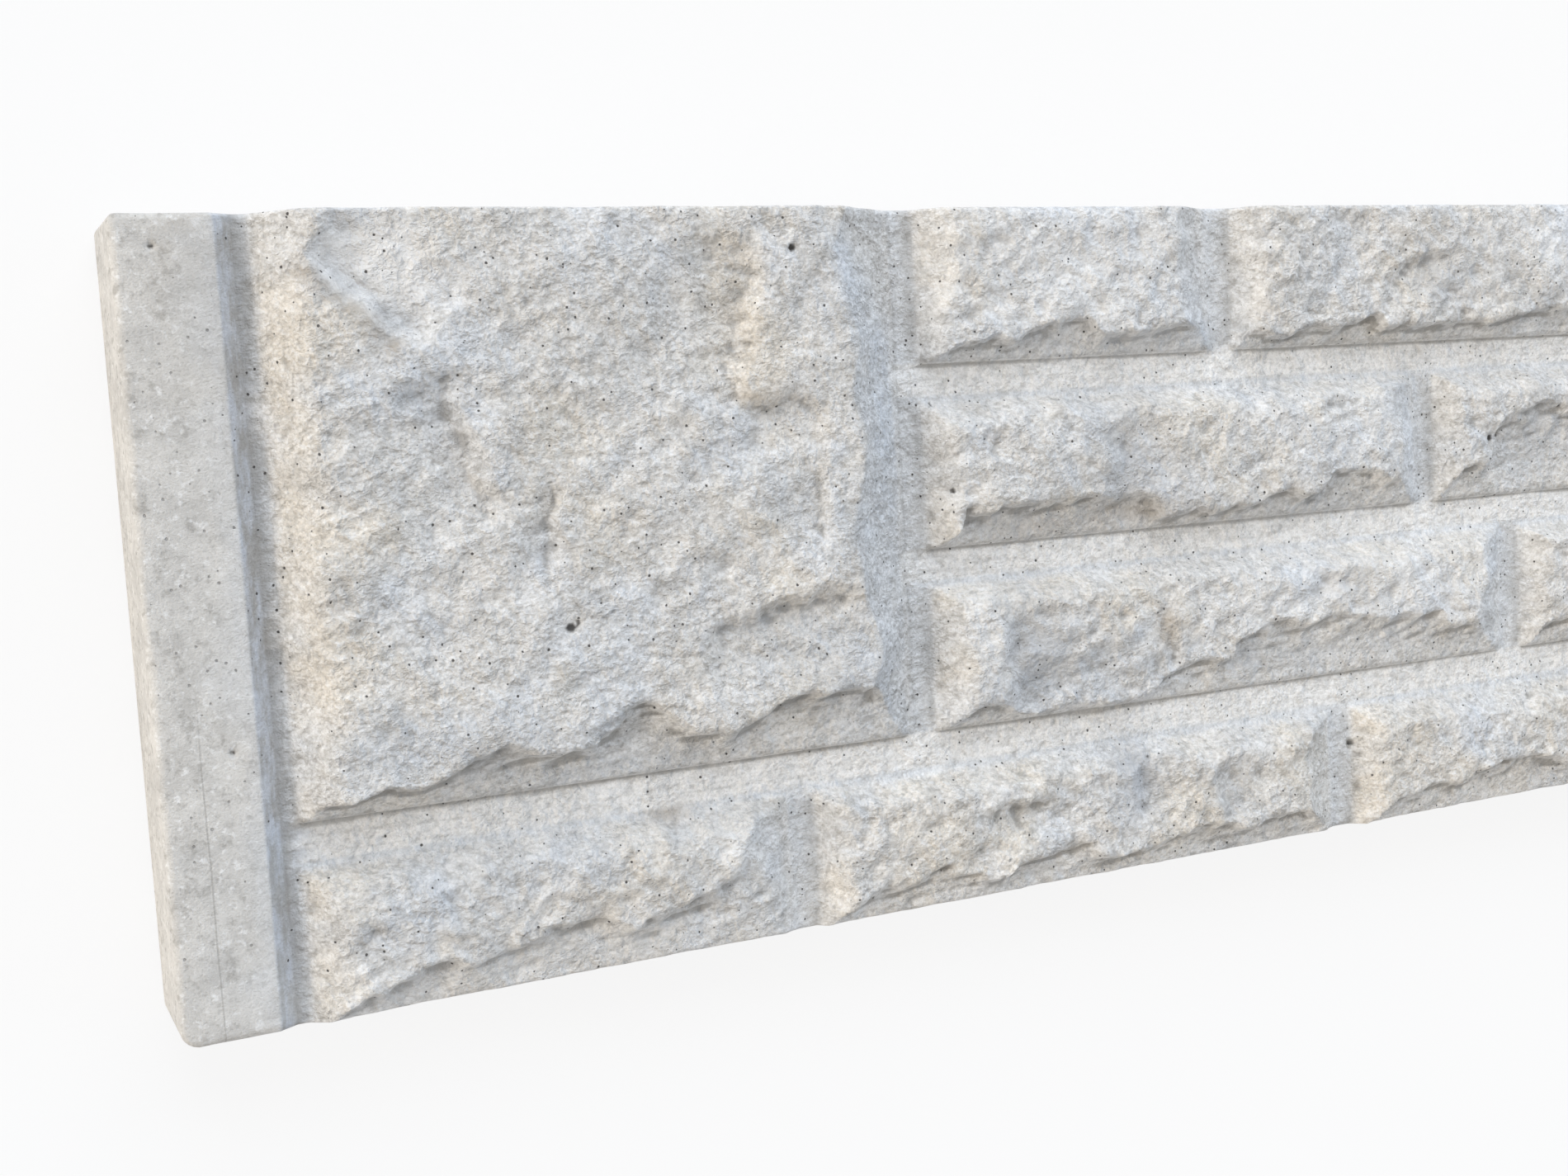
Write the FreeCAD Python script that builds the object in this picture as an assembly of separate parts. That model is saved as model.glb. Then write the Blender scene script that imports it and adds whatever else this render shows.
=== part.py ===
"""Rock-faced concrete gravel board, cast in one piece, lying on its back with the rock face up.

X runs along the board, Y up it as it stands in a fence, and Z out of its face.
The origin is at the middle of the flat back. All sizes are in millimetres.
"""

import FreeCAD, Part
import itertools
import math
import os

from FreeCAD import Vector

# Overall size
BOARD_LENGTH = 1830.0
BOARD_HEIGHT = 305.0

# Plain tongues, which slide into the grooves of two slotted posts
TONGUE_THICKNESS = 50.0
TONGUE_WIDTH = 36.0
SHOULDER_RUN = 7.0
CORNER_RADIUS = 5.0
WORN_EDGE = 2.0

# Mortar bed between the stones, sunk below the face of the tongues
BED_SINK = 6.0
BED_JOINT = 14.2
UPRIGHT_JOINT = 8.5
END_JOINT = 5.0

# Courses of stone. The pattern runs a little past the top and bottom edges, which trim it
COURSES = 4
TOP_TRIM = 1.4
BOTTOM_TRIM = 4.2
QUOIN_LENGTH = 271.0
SHORTEST_STONE = 110.0
TOP_COURSE_LENGTHS = (162.0, 256.0, 217.0, 267.0)
SECOND_COURSE_LENGTHS = (288.0, 235.0, 257.0, 207.0)
THIRD_COURSE_LENGTHS = (344.0, 254.0, 242.0)
BOTTOM_COURSE_LENGTHS = (208.0, 290.0, 231.0, 202.0, 287.0, 247.0)

# How far the stones stand out of the bed, and how much one differs from the next
STONE_RELIEF = 15.0
QUOIN_RELIEF = 20.0
UNEVENNESS = 1.5

# A stone's flanks climb steeply to a shoulder, and its face climbs gently from there to a flat crown
SHOULDER_SHARE = 0.85
STONE_FLANK_LEFT = 11.0
STONE_FLANK_RIGHT = 20.0
QUOIN_FLANK_LEFT = 15.0
QUOIN_FLANK_RIGHT = 36.0
FLANK_TOP = 7.0
FLANK_BOTTOM = 5.0
FACE_SIDE = 22.0
FACE_TOP = 9.0
FACE_BOTTOM = 16.0

# A stone is pitched: blows along its lower edge break the face back to its base line, down to this height
FOOT_STEP = 2.2

# Blows along a lower edge where none are given, and the rise of the broken part at a stone's two ends
BLOW_SPACING = 24.0
BLOW_RISE_LEAST = 8.0
BLOW_RISE_MOST = 25.0
END_RISE = 4.0

# Corners of the struck edge left by the blows, as (from the stone's left end, above its base line)
QUOIN_BLOWS = (
    (24, 9), (49, 11), (78, 20), (117, 18), (135, 32), (158, 19),
    (179, 14), (201, 25), (214, 29), (244, 28), (256, 16),
)
STONE_BLOWS = {
    (0, 0): ((33, 10), (45, 9), (64, 16), (85, 17), (97, 10), (146, 12)),
    (0, 1): ((14, 9), (25, 4), (81, 14), (86, 8), (131, 8), (156, 7), (207, 15)),
    (1, 0): ((10, 5), (17, 16), (47, 20), (108, 20), (121, 8), (156, 6), (195, 14), (217, 12), (235, 22)),
    (1, 1): ((14, 18), (30, 19), (46, 42), (68, 48), (96, 46), (136, 22), (186, 18)),
    (2, 0): ((22, 12), (37, 6), (115, 6), (129, 19), (153, 19), (176, 30), (221, 33), (289, 25), (303, 17)),
    (2, 1): ((12, 14), (40, 12), (90, 24), (160, 10), (200, 17)),
    (3, 0): ((27, 14), (50, 23), (64, 20), (99, 29), (124, 23), (136, 28), (192, 28)),
    (3, 1): ((30, 22), (60, 22), (81, 15), (119, 25), (159, 14), (183, 20), (249, 21)),
    (3, 2): ((34, 20), (65, 18), (105, 28), (142, 20), (167, 24)),
}

# A face is hewn in shallow dishes that meet in ridges
DISH_SPACING = 85.0
DISH_OVERLAP = 1.25
DISH_DEPTH = 2.4

# The dishes of a quoin, as (from its left end, above its base line, half width, depth)
QUOIN_DISHES = (
    (44, 205, 46, 9.0),
    (62, 128, 46, 4.5),
    (52, 52, 42, 4.0),
    (134, 176, 58, 3.5),
    (136, 86, 54, 3.5),
    (214, 196, 52, 5.0),
    (228, 124, 40, 4.5),
    (208, 56, 46, 5.5),
)

# Sizes worked out from those above
BED_LEVEL = TONGUE_THICKNESS - BED_SINK
FIELD_START = TONGUE_WIDTH + SHOULDER_RUN + END_JOINT
FIELD_END = BOARD_LENGTH - FIELD_START
STONE_HEIGHT = (TOP_TRIM + BOARD_HEIGHT + BOTTOM_TRIM - (COURSES - 1) * BED_JOINT) / COURSES
COURSE_PITCH = STONE_HEIGHT + BED_JOINT
RUN_START = FIELD_START + QUOIN_LENGTH + UPRIGHT_JOINT
RUN_END = BOARD_LENGTH - RUN_START

# Cutting tools reach this far past what they cut
REACH = 2.0
GOLDEN_STEP = (math.sqrt(5) - 1) / 2


def uneven(number):
    """A repeatable uneven share from -1 to 1 for the stone of that number."""
    return 2 * ((number * GOLDEN_STEP) % 1) - 1


def course_base(course):
    """Y of a course's base line, counting courses from the top edge."""
    return BOARD_HEIGHT / 2 + TOP_TRIM - course * COURSE_PITCH - STONE_HEIGHT


def rectangle(left, right, bottom, top, level):
    """A closed rectangular wire at a level."""
    corners = [(left, bottom), (right, bottom), (right, top), (left, top), (left, bottom)]
    return Part.makePolygon([Vector(x, y, level) for x, y in corners])


def board_blank():
    """The slab with its two tongues: one long section, carried across the board, with worn outer edges."""
    half = BOARD_LENGTH / 2
    shoulder_top = half - TONGUE_WIDTH
    shoulder_foot = shoulder_top - SHOULDER_RUN
    right_side = [
        (half, 0.0),
        (half, TONGUE_THICKNESS),
        (shoulder_top, TONGUE_THICKNESS),
        (shoulder_foot, BED_LEVEL),
    ]
    left_side = [(-x, z) for x, z in reversed(right_side)]
    section = right_side + left_side + right_side[:1]
    front = -BOARD_HEIGHT / 2
    face = Part.Face(Part.makePolygon([Vector(x, front, z) for x, z in section]))
    blank = face.extrude(Vector(0, BOARD_HEIGHT, 0))
    return worn(blank)


def worn(blank):
    """The blank with rounded plan corners and with its end edges rubbed round."""

    def is_upright_corner(edge):
        box = edge.BoundBox
        return box.XLength < REACH and box.YLength < REACH and abs(box.Center.x) > BOARD_LENGTH / 2 - REACH

    def is_end_edge(edge):
        box = edge.BoundBox
        return abs(box.Center.x) > BOARD_LENGTH / 2 - REACH and box.ZLength < REACH < box.YLength

    blank = blank.makeFillet(CORNER_RADIUS, [e for e in blank.Edges if is_upright_corner(e)])
    return blank.makeFillet(WORN_EDGE, [e for e in blank.Edges if is_end_edge(e)])


def pitch_tool(left, right, base, relief, blows):
    """The room in front of the broken lower part, which slopes from the base line up to the struck edge."""
    low = BED_LEVEL + FOOT_STEP
    high = BED_LEVEL + REACH * relief
    growth = (high - low) / (relief - FOOT_STEP)
    apron = base - REACH * relief
    on_stone = [(left + along, rise) for along, rise in blows if left + along < right]
    edge = [(left - REACH, END_RISE)] + on_stone + [(right + REACH, END_RISE)]

    def outline(level, share):
        upper = [(x, base + rise * share) for x, rise in edge]
        corners = [(left - REACH, apron)] + upper + [(right + REACH, apron), (left - REACH, apron)]
        return Part.makePolygon([Vector(x, y, level) for x, y in corners])

    return Part.makeLoft([outline(low, 0), outline(high, growth)], True, True)


def dish_tool(left, base, relief, along, above, half_width, depth):
    """A ball that hews a shallow dish in the face, with its poles clear of the stone."""
    radius = (half_width**2 + depth**2) / (2 * depth)
    middle = Vector(left + along, base + above, BED_LEVEL + relief + radius - depth)
    return Part.makeSphere(radius, middle, Vector(1, 0, 0))


def default_dishes(length, number):
    """Dishes in a row along a stone of that length, a little over or under the middle of its face."""
    count = max(2, round(length / DISH_SPACING))
    share = length / count
    middle = (STONE_HEIGHT + FLANK_BOTTOM) / 2
    sway = STONE_HEIGHT / 2 - FLANK_TOP - FACE_TOP
    return [
        (share * (k + 0.5), middle + sway * uneven(number + k), share * DISH_OVERLAP / 2, DISH_DEPTH)
        for k in range(count)
    ]


def default_blows(length, number):
    """Blows at even steps along a stone of that length, each with its own rise."""
    count = max(2, round(length / BLOW_SPACING))
    middle_rise = (BLOW_RISE_LEAST + BLOW_RISE_MOST) / 2
    rise_range = (BLOW_RISE_MOST - BLOW_RISE_LEAST) / 2
    return [
        (length * k / count, middle_rise + rise_range * uneven(number * COURSES + k))
        for k in range(1, count)
    ]


def stone(left, right, base, top, relief, flanks, blows, dishes):
    """One stone: flanks, shoulder and crown lofted in steps, then hewn on its face and pitched below."""
    shoulder = BED_LEVEL + SHOULDER_SHARE * relief
    crown = BED_LEVEL + relief
    face = (left + flanks[0], right - flanks[1], base + FLANK_BOTTOM, top - FLANK_TOP)
    crown_box = (face[0] + FACE_SIDE, face[1] - FACE_SIDE, face[2] + FACE_BOTTOM, face[3] - FACE_TOP)
    sections = [
        rectangle(left, right, base, top, BED_LEVEL - REACH),
        rectangle(left, right, base, top, BED_LEVEL),
        rectangle(*face, shoulder),
        rectangle(*crown_box, crown),
    ]
    block = Part.makeLoft(sections, True, True)
    tools = [pitch_tool(left, right, base, relief, blows)]
    tools += [dish_tool(left, base, relief, *dish) for dish in dishes]
    return block.cut(tools)


def run_of_stones(start, end, lengths):
    """Left and right ends of the stones of one course; the last takes what is left of the run."""
    ends = []
    left = start
    for length in itertools.cycle(lengths):
        right = left + length
        if end - right < UPRIGHT_JOINT + SHORTEST_STONE:
            ends.append((left, end))
            return ends
        ends.append((left, right))
        left = right + UPRIGHT_JOINT


def coursed_stones():
    """Every small stone, course by course from the top. The bottom course runs under both quoins."""
    runs = [
        (RUN_START, RUN_END, TOP_COURSE_LENGTHS),
        (RUN_START, RUN_END, SECOND_COURSE_LENGTHS),
        (RUN_START, RUN_END, THIRD_COURSE_LENGTHS),
        (FIELD_START, FIELD_END, BOTTOM_COURSE_LENGTHS),
    ]
    flanks = (STONE_FLANK_LEFT, STONE_FLANK_RIGHT)
    stones = []
    for course, run in enumerate(runs):
        base = course_base(course)
        for place, (start, end) in enumerate(run_of_stones(*run)):
            number = len(stones)
            blows = STONE_BLOWS.get((course, place)) or default_blows(end - start, number)
            dishes = default_dishes(end - start, number)
            relief = STONE_RELIEF + UNEVENNESS * uneven(number)
            left = start - BOARD_LENGTH / 2
            right = end - BOARD_LENGTH / 2
            stones.append(stone(left, right, base, base + STONE_HEIGHT, relief, flanks, blows, dishes))
    return stones


def quoins():
    """The tall stone at the left end, three courses high, and its mirror image at the right end."""
    base = course_base(COURSES - 2)
    top = BOARD_HEIGHT / 2 + TOP_TRIM + FLANK_TOP
    left = FIELD_START - BOARD_LENGTH / 2
    right = left + QUOIN_LENGTH
    flanks = (QUOIN_FLANK_LEFT, QUOIN_FLANK_RIGHT)
    quoin = stone(left, right, base, top, QUOIN_RELIEF, flanks, QUOIN_BLOWS, QUOIN_DISHES)
    return [quoin, quoin.mirror(Vector(0, 0, 0), Vector(1, 0, 0))]


def trimming_prism():
    """The room between the board's top and bottom edges, tall enough to hold every stone."""
    height = TONGUE_THICKNESS + REACH * QUOIN_RELIEF
    corner = Vector(-BOARD_LENGTH / 2, -BOARD_HEIGHT / 2, 0)
    return Part.makeBox(BOARD_LENGTH, BOARD_HEIGHT, height, corner)


def gravel_board():
    """The whole casting: the blank and every stone fused into one solid, trimmed at the edges."""
    cast = board_blank().fuse(quoins() + coursed_stones())
    return cast.common(trimming_prism()).removeSplitter()


def main():
    os.makedirs("parts", exist_ok=True)
    board = gravel_board()
    box = board.optimalBoundingBox()
    print("valid", board.isValid(), "solids", len(board.Solids), "faces", len(board.Faces))
    print("size", round(box.XLength, 2), round(box.YLength, 2), round(box.ZLength, 2))
    print("volume in litres", round(board.Volume / 1e6, 3))
    board.Solids[0].exportStep("parts/gravel_board.step")


main()
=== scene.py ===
# %% [markdown]
# # A rock-faced concrete gravel board
#
# A gravel board is the heavy strip that closes the bottom of a fence. This one is cast in concrete, and
# its face copies courses of hewn stone with mortar between them. The solid model gives the true sizes: a
# slab, two plain tongues that drop into slotted posts, a sunk bed of mortar, and blocks of stone with
# their struck lower edges and hewn dishes. This lesson reads that solid, works the finer rock face into
# it, colours it and lights it.

# %% Load the solid model
import math

import bpy
import numpy as np
from mathutils import Euler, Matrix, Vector


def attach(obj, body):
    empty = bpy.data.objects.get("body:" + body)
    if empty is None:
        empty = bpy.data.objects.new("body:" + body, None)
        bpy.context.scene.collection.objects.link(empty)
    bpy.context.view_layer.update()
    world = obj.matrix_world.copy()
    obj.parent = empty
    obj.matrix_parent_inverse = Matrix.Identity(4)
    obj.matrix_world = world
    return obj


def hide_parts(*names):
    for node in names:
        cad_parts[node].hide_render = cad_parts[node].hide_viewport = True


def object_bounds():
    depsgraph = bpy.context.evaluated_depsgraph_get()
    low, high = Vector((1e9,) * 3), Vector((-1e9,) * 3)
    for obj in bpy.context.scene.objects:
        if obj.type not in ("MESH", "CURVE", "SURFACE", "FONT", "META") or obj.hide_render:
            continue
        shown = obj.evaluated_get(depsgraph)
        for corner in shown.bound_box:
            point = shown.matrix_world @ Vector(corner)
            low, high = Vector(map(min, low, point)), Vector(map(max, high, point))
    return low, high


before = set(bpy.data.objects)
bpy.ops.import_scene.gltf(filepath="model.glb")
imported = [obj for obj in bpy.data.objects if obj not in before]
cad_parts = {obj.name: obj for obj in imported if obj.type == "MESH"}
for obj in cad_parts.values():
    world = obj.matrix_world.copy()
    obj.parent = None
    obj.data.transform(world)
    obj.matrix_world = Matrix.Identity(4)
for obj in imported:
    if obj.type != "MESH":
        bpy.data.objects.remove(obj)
cad_low, cad_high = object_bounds()

MM = 0.001
LENGTH, HEIGHT, THICKNESS = (side / MM for side in cad_high - cad_low)
print(f"board {LENGTH:.0f} x {HEIGHT:.0f} x {THICKNESS:.0f} mm")

# %% [markdown]
# ## A grid over the face
#
# The face is one surface over two parameters: u, the distance from the left end, and v, the depth below
# the top edge. Both are in millimetres, because that is how a maker would measure the board. The lines of
# the grid are close together at the rim, where the edge of the casting is rounded, and evenly spaced
# inside it.

# %% Grid lines
GRID_STEP = 1.3
RIM_STEPS = np.array([0.0, 0.2, 0.6, 1.2, 2.0, 3.0, 4.2])


def grid_lines(length):
    """Places along one side: rim steps in from both ends, with even steps between them."""
    inner = length - 2 * RIM_STEPS[-1]
    middle = np.linspace(RIM_STEPS[-1], length - RIM_STEPS[-1], round(inner / GRID_STEP) + 1)
    return np.concatenate([RIM_STEPS[:-1], middle, length - RIM_STEPS[-2::-1]])


u_lines = grid_lines(LENGTH)
v_lines = grid_lines(HEIGHT)
U, V = np.meshgrid(u_lines, v_lines)
print("grid", U.shape)

# %% [markdown]
# ## Reading the solid
#
# The fine surface has to follow the solid, so we feel its height at each grid point. A sheet of loose
# points is hung above the board, and Blender's Shrinkwrap modifier drops them straight down onto it. This
# is quicker and safer than repeating the solid's own sizes here, and it follows any later change to them.

# %% Heights of the solid
RIM_SAFE = 2.3  # the feelers stay this far in from the rim, where the solid's edges are rounded


def press_onto(node, x, y):
    """Height of a solid under each point of a grid: points dropped along -Z until they meet it."""
    points = np.stack([x, y, np.full_like(x, 2 * THICKNESS)], -1) * MM
    sheet = bpy.data.meshes.new("feeler")
    sheet.vertices.add(x.size)
    sheet.vertices.foreach_set("co", points.astype(np.float32).ravel())
    feeler = bpy.data.objects.new("feeler", sheet)
    bpy.context.collection.objects.link(feeler)
    press = feeler.modifiers.new("press", "SHRINKWRAP")
    press.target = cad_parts[node]
    press.wrap_method = "PROJECT"
    press.use_project_z = True
    press.use_positive_direction = False
    press.use_negative_direction = True
    felt = feeler.evaluated_get(bpy.context.evaluated_depsgraph_get()).data
    places = np.empty(x.size * 3, np.float32)
    felt.vertices.foreach_get("co", places)
    bpy.data.objects.remove(feeler)
    bpy.data.meshes.remove(sheet)
    return places[2::3].reshape(x.shape).astype(float) / MM


safe_u = np.clip(U, RIM_SAFE, LENGTH - RIM_SAFE)
safe_v = np.clip(V, RIM_SAFE, HEIGHT - RIM_SAFE)
solid_height = press_onto("gravel_board", safe_u - LENGTH / 2, HEIGHT / 2 - safe_v)
BED = solid_height.min()
print(f"solid heights {BED:.1f} to {solid_height.max():.1f} mm")

# %% [markdown]
# ## Finding the stones
#
# The courses and the stones in them can be read off those heights. In the middle of the board every row
# of the grid is mostly stone or mostly mortar, which gives the courses. Along one course, a column is
# stone where anything in it stands out of the bed. A tall corner stone at each end passes through three
# courses, so it is found three times, and its box grows downwards each time.

# %% Stones of the solid
STANDS_OUT = 0.4  # height above the bed that counts as stone
TONGUE_SPAN = 45.0  # a tongue and its shoulder
TALL_COURSES = 3  # courses that a corner stone passes through
FOOT = 1.2  # added round a stone for the foot of its slopes
PAST_EDGE = 4.0  # how far a stone runs on where the board's edge cuts it off


def runs(is_part):
    """First and last index of each unbroken stretch of True in a row."""
    edges = np.flatnonzero(np.diff(np.concatenate([[0], is_part.astype(int), [0]])))
    return list(zip(edges[0::2], edges[1::2] - 1))


def grown(low, high, limit):
    """A stone's span with its foot added, run past the board's edge where it is cut off there."""
    return low - (FOOT if low > 0 else PAST_EDGE), high + (FOOT if high < limit else PAST_EDGE)


stands_out = (solid_height > BED + STANDS_OUT) & (np.minimum(U, LENGTH - U) > TONGUE_SPAN)
middle_third = slice(U.shape[1] // 3, 2 * U.shape[1] // 3)
course_rows = runs(stands_out[:, middle_third].mean(axis=1) > 0.5)
stone_boxes = {}
for course, (first, last) in enumerate(course_rows):
    course_top, base = grown(v_lines[first], v_lines[last], HEIGHT)
    columns = runs(stands_out[first:last + 1].any(axis=0))
    for place, (first_column, last_column) in enumerate(columns):
        left, right = grown(u_lines[first_column], u_lines[last_column], LENGTH)
        name, top = (course, place), course_top
        if course < TALL_COURSES and place in (0, len(columns) - 1):
            name = "left corner" if place == 0 else "right corner"
            top = stone_boxes.get(name, (0, 0, course_top))[2]
        stone_boxes[name] = (left, right, top, base)
print(len(course_rows), "courses and", len(stone_boxes), "stones")

# %% [markdown]
# ## Noise
#
# Broken stone has lumps of every size. Gradient noise gives one size of lump: each corner of a square
# lattice gets a random slope, and the slopes are blended in between. Adding layers, each finer and
# weaker, gives the rest. The lattice can be stretched and turned, for streaks and for torn, leaning
# grain.

# %% Noise helpers
LATTICE = 256  # corners along each side before the pattern repeats
SEED_SHIFT = (0.37, 0.71)  # moves the lattice of each seed, so that their corners don't line up
NOISE_GAIN = 1.5  # brings the blended slopes up to about -1 to 1


def fade(t):
    """Blend curve with level ends: 6 t^5 - 15 t^4 + 10 t^3."""
    return t * t * t * (t * (6 * t - 15) + 10)


def smoothstep(low, high, value):
    """0 below low, 1 above high, and an S-shaped climb between."""
    t = np.clip((value - low) / (high - low), 0, 1)
    return t * t * (3 - 2 * t)


def noise(u, v, cell, seed, stretch=1.0, turn=0.0):
    """Gradient noise, about -1 to 1: random slopes at lattice corners, blended by the fade curve."""
    turn = math.radians(turn)
    a = (math.cos(turn) * u + math.sin(turn) * v) / (cell * stretch) + SEED_SHIFT[0] * seed
    b = (math.cos(turn) * v - math.sin(turn) * u) / cell + SEED_SHIFT[1] * seed
    angles = np.random.default_rng(seed).uniform(0, 2 * np.pi, (LATTICE, LATTICE))
    slope_a, slope_b = np.cos(angles), np.sin(angles)
    a0, b0 = np.floor(a).astype(int), np.floor(b).astype(int)
    fa, fb = a - a0, b - b0

    def corner(da, db):
        row, column = (b0 + db) % LATTICE, (a0 + da) % LATTICE
        return slope_a[row, column] * (fa - da) + slope_b[row, column] * (fb - db)

    wa, wb = fade(fa), fade(fb)
    upper = corner(0, 0) * (1 - wa) + corner(1, 0) * wa
    lower = corner(0, 1) * (1 - wa) + corner(1, 1) * wa
    return NOISE_GAIN * (upper * (1 - wb) + lower * wb)


def layers(u, v, cell, count, seed, stretch=1.0, turn=0.0, strength=0.5):
    """Sum of noises, each half as wide as the one before and strength times as strong."""
    sizes = [(cell / 2**k, strength**k) for k in range(count)]
    return sum(s * noise(u, v, c, seed + k, stretch, turn) for k, (c, s) in enumerate(sizes))


def ridges(u, v, cell, seed, stretch=1.0, turn=0.0):
    """Noise folded at zero, 0.4 - 2 |noise|: hollows that meet in sharp ridges, as broken stone does."""
    return 0.4 - 2 * np.abs(noise(u, v, cell, seed, stretch, turn))


print(f"noise repeats after {LATTICE} cells")

# %% [markdown]
# ## Where the stones were struck
#
# A mason pitches a stone: blows along its lower edge knock flakes off, so the face ends in a wandering,
# sharp line and breaks back below it to the mortar. That line is given for the stones that were studied
# closely, as points (distance from the stone's left end, height above its base). Other stones get a line
# of the same kind from seeded random numbers. Flakes were lost from the faces too, and those scars are
# listed one by one.

# %% Struck edges and scars
PITCH_LINES = {
    "left corner": (
        (0, 2), (8, 7), (24, 9), (49, 11), (58, 15), (78, 20), (98, 18), (117, 18), (125, 24), (131, 31),
        (139, 33), (146, 29), (158, 19), (179, 14), (193, 20), (201, 25), (214, 29), (229, 27),
        (244, 28), (256, 16), (271, 6),
    ),
    (0, 1): (
        (0, 0), (10, 5), (18, 8), (33, 10), (45, 9), (57, 13), (64, 16), (78, 18), (85, 17), (91, 12),
        (97, 10), (109, 10), (135, 13), (146, 12), (156, 14), (162, 6),
    ),
    (0, 2): (
        (0, 2), (4, 9), (14, 9), (25, 4), (35, 8), (43, 10), (54, 8), (73, 12), (81, 14), (86, 8),
        (131, 8), (138, 11), (156, 7), (180, 11), (190, 14), (207, 15), (227, 12), (256, 5),
    ),
    (1, 1): (
        (0, 2), (10, 5), (17, 16), (30, 15), (35, 19), (47, 20), (66, 18), (108, 20), (115, 16),
        (121, 8), (156, 6), (172, 9), (195, 14), (206, 11), (217, 12), (224, 20), (235, 22), (246, 20),
        (269, 14), (279, 7),
    ),
    (1, 2): (
        (0, 2), (10, 14), (14, 18), (22, 20), (30, 19), (33, 30), (38, 37), (46, 42), (56, 45), (68, 48),
        (96, 46), (121, 36), (136, 22), (156, 14), (186, 18), (216, 12), (235, 5),
    ),
    (2, 1): (
        (0, 0), (9, 4), (17, 10), (22, 12), (29, 10), (37, 6), (48, 5), (98, 5), (115, 6), (121, 15),
        (129, 19), (153, 19), (167, 26), (176, 30), (221, 33), (243, 29), (251, 26), (277, 27),
        (289, 25), (303, 17), (328, 17), (344, 3),
    ),
    (2, 2): (
        (0, 0), (8, 8), (12, 14), (25, 15), (40, 12), (60, 20), (90, 24), (120, 15), (160, 10),
        (200, 17), (254, 3),
    ),
    (3, 0): (
        (0, 4), (12, 8), (27, 14), (34, 21), (50, 23), (64, 20), (80, 25), (99, 29), (114, 28),
        (124, 23), (130, 22), (136, 28), (166, 29), (176, 27), (192, 28), (202, 20), (208, 8),
    ),
    (3, 1): (
        (0, 6), (13, 13), (22, 20), (30, 22), (60, 22), (69, 19), (81, 15), (91, 16), (97, 21),
        (119, 25), (127, 25), (133, 22), (145, 17), (159, 14), (183, 20), (207, 21), (228, 18),
        (249, 21), (272, 15), (290, 5),
    ),
    (3, 2): (
        (0, 4), (17, 12), (34, 20), (57, 21), (65, 18), (77, 23), (85, 26), (105, 28), (121, 25),
        (142, 20), (167, 24), (197, 16), (231, 3),
    ),
}
BLOW_SPACING = 21.0
BLOW_JITTER = 0.3  # share of the spacing
BLOW_HEIGHTS = (8.0, 25.0)
END_HEIGHT = 3.0

# Each scar: the middle of its edge (u, v), the way it faces in degrees (0 right, 90 down, 180 left, 270 up),
# the half width of the edge, its depth, how wide its fall is, how far it takes to climb back to the face,
# and how far the edge's ends bend over
CORNER_SCARS = (
    (82, 39, 310, 28, 9.0, 10, 30, 0),
    (126, 90, 160, 30, 7.5, 7, 34, 0),
    (156, 124, 182, 24, 3.6, 4, 20, 0),
    (272, 126, 184, 32, 3.0, 4, 26, 0),
    (245, 50, 190, 34, 8.0, 8, 44, 0),
    (255, 77, 95, 22, 3.6, 4, 24, 2),
    (249, 158, 76, 42, 7.5, 8, 32, 8),
    (112, 62, 80, 20, 1.8, 3, 18, 2),
    (238, 93, 86, 12, 1.6, 3, 14, 2),
    (180, 200, 95, 27, 3.5, 4, 16, 4),
)
STONE_SCARS = (
    (606, 24, 70, 28, 4.5, 7, 26, 4),
    (418, 112, 20, 36, 5.5, 12, 26, 2),
    (540, 95, 272, 52, 2.5, 4, 18, 2),
    (356, 195, 5, 28, 5.0, 12, 30, 2),
    (405, 196, 90, 54, 6.5, 16, 70, 6),
    (454, 196, 170, 18, 2.6, 5, 18, 0),
    (533, 182, 20, 14, 3.5, 9, 16, 0),
    (226, 270, 60, 26, 4.5, 6, 20, 0),
    (372, 262, 95, 30, 3.5, 4, 24, 6),
    (424, 262, 0, 20, 5.0, 9, 30, 2),
    (472, 275, 0, 16, 4.0, 8, 20, 0),
)


def pitch_points(name, length):
    """Points of a stone's struck edge: those given, or blows of random height at jittered even steps."""
    if name in PITCH_LINES:
        return np.array(PITCH_LINES[name], float).T
    rng = np.random.default_rng(int(length))
    count = round(length / BLOW_SPACING)
    jitter = rng.uniform(-BLOW_JITTER, BLOW_JITTER, count + 1)
    along = (np.arange(count + 1) + jitter) * length / count
    heights = rng.uniform(*BLOW_HEIGHTS, count + 1)
    heights[[0, -1]] = END_HEIGHT
    return np.array([along, heights])


print(len(PITCH_LINES), "struck edges and", len(CORNER_SCARS) + len(STONE_SCARS), "scars")

# %% [markdown]
# ## One stone as a height
#
# A stone is the lowest of several simple surfaces: a rough face, a slope at each side, a soft roll at the
# top, and the broken pitch below. Taking the lowest makes a crease wherever two of them meet. A smooth
# minimum rounds the crease where the mould was worn, and a plain minimum leaves it sharp along the struck
# edge.

# %% Scars and struck edges as heights
SCAR_WANDER = 0.12  # share of the edge's half width
SCAR_CHIPS = 0.9
SCAR_CREST = 0.35  # rounds the turn from a scar's fall to its climb
SCAR_ENDS = 0.7  # power that blunts the two ends of a scar
BASE_STEP = 0.13  # share of the relief that rises straight out of the mortar
LIP = 0.48  # share of the relief in the steep lip under the struck edge
LIP_POWER = 8
LEDGE = 2.2
EDGE_CHIPS = 1.1
EDGE_WANDER = 2.2
CLIMB_WANDER = 0.16


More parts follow.
